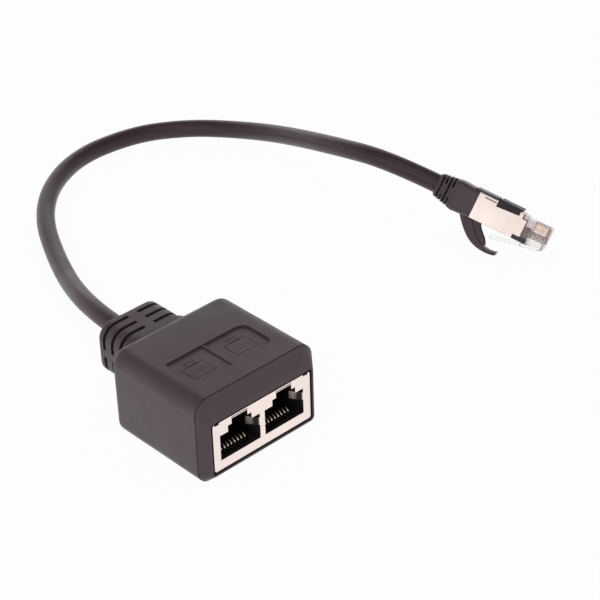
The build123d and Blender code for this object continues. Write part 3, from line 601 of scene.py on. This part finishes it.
dressed = {
    "housing": dress("housing", "housing_moulding", HOUSING_EDGE),
    "jack_shield": dress("jack_shield", "jack_can", finish="can_nickel"),
    "jack_insert": dress("jack_insert", "jack_socket_wells"),
}
can_low, can_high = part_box("jack_shield")
sunk = shift(
    dressed["housing"],
    lambda at: abs(at.z - PANEL_FLOOR) < SAME_LEVEL and at.y < BEHIND_PANEL,
    (0, 0, -PANEL_SINK),
)
lowered = shift(
    dressed["jack_shield"],
    lambda at: at.z > can_high.z - CAN_RIM,
    (0, 0, -GAP_ABOVE),
)
narrowed = shift(
    dressed["jack_shield"],
    lambda at: at.x < can_low.x + CAN_RIM,
    (GAP_LEFT, 0, 0),
)
print("dressed:", sorted(dressed), "points moved:", sunk, lowered, narrowed)

# %% [markdown]
# The plug: clear body with its latch, sheet shell, saddle, load bar, and the boot with its lever.
# The saddle ends a little further back in the photograph, with a lower top edge, and so does the
# load bar's stem above its foot.

# %% Plug
CLEAR_EDGE = 0.13 * MM
BOOT_EDGE = 0.12 * MM
SADDLE_FRONT = 9.0 * MM      # behind the nose
SADDLE_TRIM = 0.5 * MM
SADDLE_DROP = 0.3 * MM
BAR_FRONT = 5.1 * MM
BAR_FOOT_TOP = -2.55 * MM    # from the plug's middle
BAR_STEM_BACK = 0.8 * MM
NEAR_FRONT = 0.2 * MM        # points this close behind a front belong to it
NEAR_LEVEL = 0.1 * MM

dressed["plug_body"] = dress("plug_body", "plug_clear_body", CLEAR_EDGE)
dressed["plug_shield"] = dress("plug_shield", "plug_shell")
dressed["plug_saddle"] = dress("plug_saddle", "plug_contact_saddle", finish="saddle_plastic")
dressed["load_bar"] = dress("load_bar", "plug_load_bar", finish="bar_plastic")
dressed["plug_boot"] = dress("plug_boot", "plug_snag_boot", BOOT_EDGE)
trimmed = shift(
    dressed["plug_saddle"],
    lambda at: at.y < SADDLE_FRONT + NEAR_FRONT,
    (0, SADDLE_TRIM, 0),
    plug_matrix,
)
from_world = plug_matrix.inverted()
saddle_points = dressed["plug_saddle"].data.vertices
saddle_top = max((from_world @ point.co).z for point in saddle_points)
front_end = SADDLE_FRONT + SADDLE_TRIM + NEAR_FRONT
dropped = shift(
    dressed["plug_saddle"],
    lambda at: at.y < front_end and at.z > saddle_top - NEAR_LEVEL,
    (0, 0, -SADDLE_DROP),
    plug_matrix,
)
set_back = shift(
    dressed["load_bar"],
    lambda at: at.y < BAR_FRONT + NEAR_FRONT and at.z > BAR_FOOT_TOP + NEAR_LEVEL,
    (0, BAR_STEM_BACK, 0),
    plug_matrix,
)
print("dressed:", len(dressed), "points moved:", trimmed, dropped, set_back)

# %% [markdown]
# The cord gets its jacket finish, takes the place of the CAD model's cord, which is hidden, and
# is parented to the root body.

cord_curve.materials.append(finishes["cord_jacket"])
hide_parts("cord")
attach(cord, "root")

# %% [markdown]
# The two shallow pictograms in the housing's sunk panel are thin raised lines. Each shows a socket:
# a frame, a latch notch on its top, and a row of contacts. A row of equal strokes is what Geometry
# Nodes are for: one stroke, a count and a pitch. The tree has named inputs, so one tree makes both
# signs, and its result becomes a plain mesh.

# %% Pictograms in the panel
SIGN_WIDTH = 6.2 * MM
SIGN_HEIGHT = 4.6 * MM
SIGN_LINE = 0.22 * MM
SIGN_RISE = 0.06 * MM
SIGN_STROKES = 4
SIGN_LEVEL = PANEL_FLOOR - PANEL_SINK
SIGN_CENTRES = [
    Vector((-7.5 * MM, -11.3 * MM, SIGN_LEVEL)),
    Vector((5.4 * MM, -11.0 * MM, SIGN_LEVEL)),
]
# Shares of the sign's width
NOTCH_WIDTH = 0.42
ROW_HALF = 0.28
# Shares of its height
NOTCH_HEIGHT = 0.3
NOTCH_LEVEL = 0.65
ROW_LEVEL = -0.22
STROKE_HEIGHT = 0.32


def sign_tree():
    """Geometry Nodes: a socket's outline and its contacts, as raised lines."""
    tree = bpy.data.node_groups.new("socket_sign", "GeometryNodeTree")
    for name, kind in (
        ("Width", "NodeSocketFloat"),
        ("Height", "NodeSocketFloat"),
        ("Line", "NodeSocketFloat"),
        ("Rise", "NodeSocketFloat"),
        ("Strokes", "NodeSocketInt"),
        ("Place", "NodeSocketVector"),
        ("Finish", "NodeSocketMaterial"),
    ):
        tree.interface.new_socket(name, in_out="INPUT", socket_type=kind)
    tree.interface.new_socket("Geometry", in_out="OUTPUT", socket_type="NodeSocketGeometry")
    new, join_up = tree.nodes.new, tree.links.new
    given = new("NodeGroupInput")
    result = new("NodeGroupOutput")

    def share(value, factor):
        """An input times a factor."""
        times = new("ShaderNodeMath")
        times.operation = "MULTIPLY"
        times.inputs[1].default_value = factor
        join_up(value, times.inputs[0])
        return times.outputs[0]

    def at(x=None, y=None):
        """A vector from two values."""
        both = new("ShaderNodeCombineXYZ")
        if x:
            join_up(x, both.inputs["X"])
        if y:
            join_up(y, both.inputs["Y"])
        return both.outputs[0]

    def frame_line(width, height, rise):
        """A rectangle's outline, moved along y."""
        outline = new("GeometryNodeCurvePrimitiveQuadrilateral")
        join_up(width, outline.inputs["Width"])
        join_up(height, outline.inputs["Height"])
        moved = new("GeometryNodeTransform")
        join_up(outline.outputs["Curve"], moved.inputs["Geometry"])
        if rise:
            join_up(at(y=rise), moved.inputs["Translation"])
        return moved.outputs["Geometry"]

    width, height = given.outputs["Width"], given.outputs["Height"]
    body = frame_line(width, height, None)
    notch = frame_line(
        share(width, NOTCH_WIDTH),
        share(height, NOTCH_HEIGHT),
        share(height, NOTCH_LEVEL),
    )
    # Contacts: one stroke repeated along a row of points
    row = new("GeometryNodeMeshLine")
    row.mode = "END_POINTS"
    join_up(given.outputs["Strokes"], row.inputs["Count"])
    row_level = share(height, ROW_LEVEL)
    join_up(at(share(width, -ROW_HALF), row_level), row.inputs["Start Location"])
    join_up(at(share(width, ROW_HALF), row_level), row.inputs["Offset"])
    stroke = new("GeometryNodeCurvePrimitiveLine")
    join_up(at(y=share(height, STROKE_HEIGHT)), stroke.inputs["End"])
    strokes = new("GeometryNodeInstanceOnPoints")
    join_up(row.outputs["Mesh"], strokes.inputs["Points"])
    join_up(stroke.outputs["Curve"], strokes.inputs["Instance"])
    solid_strokes = new("GeometryNodeRealizeInstances")
    join_up(strokes.outputs["Instances"], solid_strokes.inputs["Geometry"])
    lines = new("GeometryNodeJoinGeometry")
    for piece in (body, notch, solid_strokes.outputs["Geometry"]):
        join_up(piece, lines.inputs["Geometry"])
    # A flat rectangular section follows every line, half of it above the panel
    section = new("GeometryNodeCurvePrimitiveQuadrilateral")
    join_up(given.outputs["Line"], section.inputs["Width"])
    join_up(share(given.outputs["Rise"], 2.0), section.inputs["Height"])
    raised = new("GeometryNodeCurveToMesh")
    raised.inputs["Fill Caps"].default_value = True
    join_up(lines.outputs["Geometry"], raised.inputs["Curve"])
    join_up(section.outputs["Curve"], raised.inputs["Profile Curve"])
    placed = new("GeometryNodeTransform")
    join_up(raised.outputs["Mesh"], placed.inputs["Geometry"])
    join_up(given.outputs["Place"], placed.inputs["Translation"])
    real = new("GeometryNodeRealizeInstances")
    join_up(placed.outputs["Geometry"], real.inputs["Geometry"])
    painted = new("GeometryNodeSetMaterial")
    join_up(real.outputs["Geometry"], painted.inputs["Geometry"])
    join_up(given.outputs["Finish"], painted.inputs["Material"])
    join_up(painted.outputs["Geometry"], result.inputs["Geometry"])
    return tree


def grow(name, tree, values):
    """Runs a tree with named values and keeps its result as a plain mesh."""
    piece = link(name, bpy.data.meshes.new(name))
    made_by = piece.modifiers.new("made_by", "NODES")
    made_by.node_group = tree
    for socket in tree.interface.items_tree:
        if socket.in_out == "INPUT" and socket.name in values:
            made_by[socket.identifier] = values[socket.name]
    seen = piece.evaluated_get(bpy.context.evaluated_depsgraph_get())
    mesh = bpy.data.meshes.new_from_object(seen)
    piece.modifiers.remove(made_by)
    piece.data = mesh
    return piece


signs = sign_tree()
for number, centre in enumerate(SIGN_CENTRES, start=1):
    sign = grow(f"panel_sign_{number}", signs, {
        "Width": SIGN_WIDTH,
        "Height": SIGN_HEIGHT,
        "Line": SIGN_LINE,
        "Rise": SIGN_RISE,
        "Strokes": SIGN_STROKES,
        "Place": centre,
        "Finish": finishes["black_pvc"],
    })
    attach(sign, "root")
    print(sign.name, "faces:", len(sign.data.polygons))

# %% [markdown]
# The contacts in the sockets are formed wires. Each comes forward under the socket's floor, turns
# back on itself in a hairpin at the mouth, and rises towards the back of the well, where a plug's
# blade presses on it. Eight alike at one pitch are a row again, so a second tree makes them: two
# straight runs joined at a corner, a fillet for the hairpin, a flat section along the line, and one
# copy for each point of the row.

# %% Contact springs
CONTACT_COUNT = 8
CONTACT_PITCH = 1.016 * MM
CONTACT_WIDTH = 0.46 * MM
CONTACT_THICK = 0.3 * MM
HAIRPIN_RADIUS = 0.6 * MM
HAIRPIN_STEPS = 10
HAIRPIN_CORNER = PLATE_Y + 0.85 * MM     # where the two runs would meet
RISE_ANGLE = radians(28)
TIP_Y = PLATE_Y + 9.6 * MM
LOW_Z = 5.10 * MM
PORT_CENTRES = (-6.69 * MM, 6.69 * MM)


def contact_tree():
    """Geometry Nodes: a row of hairpin springs along x."""
    tree = bpy.data.node_groups.new("contact_row", "GeometryNodeTree")
    for name, kind in (
        ("Count", "NodeSocketInt"),
        ("Pitch", "NodeSocketFloat"),
        ("Width", "NodeSocketFloat"),
        ("Thickness", "NodeSocketFloat"),
        ("Radius", "NodeSocketFloat"),
        ("Tail", "NodeSocketVector"),
        ("Corner", "NodeSocketVector"),
        ("Tip", "NodeSocketVector"),
        ("First", "NodeSocketVector"),
        ("Finish", "NodeSocketMaterial"),
    ):
        tree.interface.new_socket(name, in_out="INPUT", socket_type=kind)
    tree.interface.new_socket("Geometry", in_out="OUTPUT", socket_type="NodeSocketGeometry")
    new, join_up = tree.nodes.new, tree.links.new
    given = new("NodeGroupInput")
    result = new("NodeGroupOutput")
    runs = new("GeometryNodeJoinGeometry")
    for start, end in (("Tail", "Corner"), ("Corner", "Tip")):
        run = new("GeometryNodeCurvePrimitiveLine")
        join_up(given.outputs[start], run.inputs["Start"])
        join_up(given.outputs[end], run.inputs["End"])
        edge = new("GeometryNodeCurveToMesh")
        join_up(run.outputs["Curve"], edge.inputs["Curve"])
        join_up(edge.outputs["Mesh"], runs.inputs["Geometry"])
    # Merging the shared corner makes one line of three points, which a fillet can round
    joined = new("GeometryNodeMergeByDistance")
    joined.inputs["Distance"].default_value = MERGE_DISTANCE
    join_up(runs.outputs["Geometry"], joined.inputs["Geometry"])
    whole = new("GeometryNodeMeshToCurve")
    join_up(joined.outputs["Geometry"], whole.inputs["Mesh"])
    hairpin = new("GeometryNodeFilletCurve")
    hairpin.mode = "POLY"
    hairpin.inputs["Count"].default_value = HAIRPIN_STEPS
    join_up(whole.outputs["Curve"], hairpin.inputs["Curve"])
    join_up(given.outputs["Radius"], hairpin.inputs["Radius"])
    section = new("GeometryNodeCurvePrimitiveQuadrilateral")
    join_up(given.outputs["Width"], section.inputs["Width"])
    join_up(given.outputs["Thickness"], section.inputs["Height"])
    spring = new("GeometryNodeCurveToMesh")
    spring.inputs["Fill Caps"].default_value = True
    join_up(hairpin.outputs["Curve"], spring.inputs["Curve"])
    join_up(section.outputs["Curve"], spring.inputs["Profile Curve"])
    step = new("ShaderNodeCombineXYZ")
    join_up(given.outputs["Pitch"], step.inputs["X"])
    row = new("GeometryNodeMeshLine")
    row.mode = "OFFSET"
    join_up(given.outputs["Count"], row.inputs["Count"])
    join_up(given.outputs["First"], row.inputs["Start Location"])
    join_up(step.outputs[0], row.inputs["Offset"])
    copies = new("GeometryNodeInstanceOnPoints")
    join_up(row.outputs["Mesh"], copies.inputs["Points"])
    join_up(spring.outputs["Mesh"], copies.inputs["Instance"])
    real = new("GeometryNodeRealizeInstances")
    join_up(copies.outputs["Instances"], real.inputs["Geometry"])
    plated = new("GeometryNodeSetMaterial")
    join_up(real.outputs["Geometry"], plated.inputs["Geometry"])
    join_up(given.outputs["Finish"], plated.inputs["Material"])
    join_up(plated.outputs["Geometry"], result.inputs["Geometry"])
    return tree


springs = contact_tree()
BOARD_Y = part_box("contact_1_1")[1].y
RISE = (TIP_Y - HAIRPIN_CORNER) * sin(RISE_ANGLE) / cos(RISE_ANGLE)
for port, centre in enumerate(PORT_CENTRES, start=1):
    row_start = centre - (CONTACT_COUNT - 1) / 2 * CONTACT_PITCH
    contacts = grow(f"socket_{port}_contacts", springs, {
        "Count": CONTACT_COUNT,
        "Pitch": CONTACT_PITCH,
        "Width": CONTACT_WIDTH,
        "Thickness": CONTACT_THICK,
        "Radius": HAIRPIN_RADIUS,
        "Tail": Vector((0, BOARD_Y, LOW_Z)),
        "Corner": Vector((0, HAIRPIN_CORNER, LOW_Z)),
        "Tip": Vector((0, TIP_Y, LOW_Z + RISE)),
        "First": Vector((row_start, 0, 0)),
        "Finish": finishes["spring_metal"],
    })
    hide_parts(*[f"contact_{port}_{number + 1}" for number in range(CONTACT_COUNT)])
    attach(contacts, "root")
    front = min(point.co.y for point in contacts.data.vertices)
    behind = round((front - PLATE_Y) / MM, 2)
    print(contacts.name, "faces:", len(contacts.data.polygons), "mm behind the plate:", behind)

# %% [markdown]
# The photograph stands the object on white, with almost no shadow. A brighter lamp would wash the
# black plastic out, so the white comes from the floor's own finish instead: what the camera, a
# mirror or a view through glass sees of it is mostly a plain white glow, and the rest is a matt
# floor that still takes the object's shadow and throws soft light back up.

# %% Floor and backdrop
FLOOR_HALF = 3.0
FLOOR_COLOUR = (0.86, 0.86, 0.86)
FLOOR_ROUGHNESS = 0.9
FLOOR_SHINE = 0.1
GLOW_SHARE = 0.965           # the rest of what is seen takes the shadow
WHITE_LEVEL = 1.0            # an emission of 1 renders as white


def seen_by(tree, rays):
    """1 for rays of the given kinds, else 0."""
    path = tree.nodes.new("ShaderNodeLightPath")
    total = path.outputs[rays[0]]
    for name in rays[1:]:
        either = tree.nodes.new("ShaderNodeMath")
        either.operation = "MAXIMUM"
        tree.links.new(total, either.inputs[0])
        tree.links.new(path.outputs[name], either.inputs[1])
        total = either.outputs[0]
    return total


floor_mesh = bpy.data.meshes.new("floor")
floor_form = bmesh.new()
bmesh.ops.create_grid(floor_form, x_segments=1, y_segments=1, size=FLOOR_HALF)
floor_form.to_mesh(floor_mesh)
floor_form.free()
floor = link("floor", floor_mesh)

floor_finish = bpy.data.materials.new("white_floor")
floor_finish.use_nodes = True
floor_tree = floor_finish.node_tree
matt = floor_tree.nodes["Principled BSDF"]
matt.inputs["Base Color"].default_value = (*FLOOR_COLOUR, 1)
matt.inputs["Roughness"].default_value = FLOOR_ROUGHNESS
matt.inputs["Specular IOR Level"].default_value = FLOOR_SHINE
glow = floor_tree.nodes.new("ShaderNodeEmission")
glow.inputs["Strength"].default_value = WHITE_LEVEL
seen_white = floor_tree.nodes.new("ShaderNodeMixShader")
seen_white.inputs["Fac"].default_value = GLOW_SHARE
mixed = floor_tree.nodes.new("ShaderNodeMixShader")
floor_tree.links.new(matt.outputs["BSDF"], seen_white.inputs[1])
floor_tree.links.new(glow.outputs["Emission"], seen_white.inputs[2])
floor_rays = ("Is Camera Ray", "Is Glossy Ray", "Is Transmission Ray")
floor_tree.links.new(seen_by(floor_tree, floor_rays), mixed.inputs["Fac"])
floor_tree.links.new(matt.outputs["BSDF"], mixed.inputs[1])
floor_tree.links.new(seen_white.outputs["Shader"], mixed.inputs[2])
floor_tree.links.new(mixed.outputs["Shader"], floor_tree.nodes["Material Output"].inputs["Surface"])
floor_mesh.materials.append(floor_finish)
print("floor side in m:", 2 * FLOOR_HALF)

# %% [markdown]
# The room is a pale light tent. The world gives the fill, bright at the horizon and dim overhead,
# because the photograph shows upright faces lighter than level ones. The camera, and a view through
# clear plastic, see plain white there. Three large soft lamps model the form: one overhead, one
# from the camera's left that draws the housing's near side, and a weaker one from behind on the
# right that edges the cord and the plug.

# %% Room light and lamps
WORLD_LEVEL = 1.0
HORIZON = (1.0, 0.98, 0.96)
HORIZON_ENDS = 0.1           # height at which it starts to dim, as a share
ZENITH = (0.22, 0.21, 0.22)
ZENITH_STARTS = 0.8
LAMP_TARGET = Vector((20, 40, 8)) * MM

world = bpy.data.worlds.new("light_tent")
bpy.context.scene.world = world
world.use_nodes = True
world_tree = world.node_tree
dim = world_tree.nodes["Background"]
way = world_tree.nodes.new("ShaderNodeTexCoord")
split = world_tree.nodes.new("ShaderNodeSeparateXYZ")
sky = world_tree.nodes.new("ShaderNodeValToRGB")
sky.color_ramp.elements[0].color = (*HORIZON, 1)
sky.color_ramp.elements[0].position = HORIZON_ENDS
sky.color_ramp.elements[1].color = (*ZENITH, 1)
sky.color_ramp.elements[1].position = ZENITH_STARTS
world_tree.links.new(way.outputs["Generated"], split.inputs["Vector"])
world_tree.links.new(split.outputs["Z"], sky.inputs["Fac"])
world_tree.links.new(sky.outputs["Color"], dim.inputs["Color"])
dim.inputs["Strength"].default_value = WORLD_LEVEL
white = world_tree.nodes.new("ShaderNodeBackground")
white.inputs["Color"].default_value = (1, 1, 1, 1)
white.inputs["Strength"].default_value = WHITE_LEVEL
backdrop = world_tree.nodes.new("ShaderNodeMixShader")
world_rays = ("Is Camera Ray", "Is Transmission Ray")
world_tree.links.new(seen_by(world_tree, world_rays), backdrop.inputs["Fac"])
world_tree.links.new(dim.outputs["Background"], backdrop.inputs[1])
world_tree.links.new(white.outputs["Background"], backdrop.inputs[2])
world_tree.links.new(backdrop.outputs["Shader"], world_tree.nodes["World Output"].inputs["Surface"])


def softbox(name, place, size, watts):
    """A large soft lamp that faces the object."""
    lamp_data = bpy.data.lights.new(name, "AREA")
    lamp_data.shape = "SQUARE"
    lamp_data.size = size
    lamp_data.energy = watts
    lamp = bpy.data.objects.new(name, lamp_data)
    lamp.location = place
    lamp.rotation_euler = (LAMP_TARGET - Vector(place)).to_track_quat("-Z", "Y").to_euler()
    bpy.context.scene.collection.objects.link(lamp)
    return lamp


lamps = [
    softbox("lamp_above", place=(-0.3, -0.1, 1.2), size=1.0, watts=2.2),
    softbox("lamp_left", place=(-1.2, -0.2, 0.7), size=1.2, watts=2.5),
    softbox("lamp_behind", place=(0.7, 0.9, 0.5), size=0.9, watts=1.2),
]
bpy.context.scene.view_settings.view_transform = "Standard"
print("lamps:", [lamp.name for lamp in lamps])
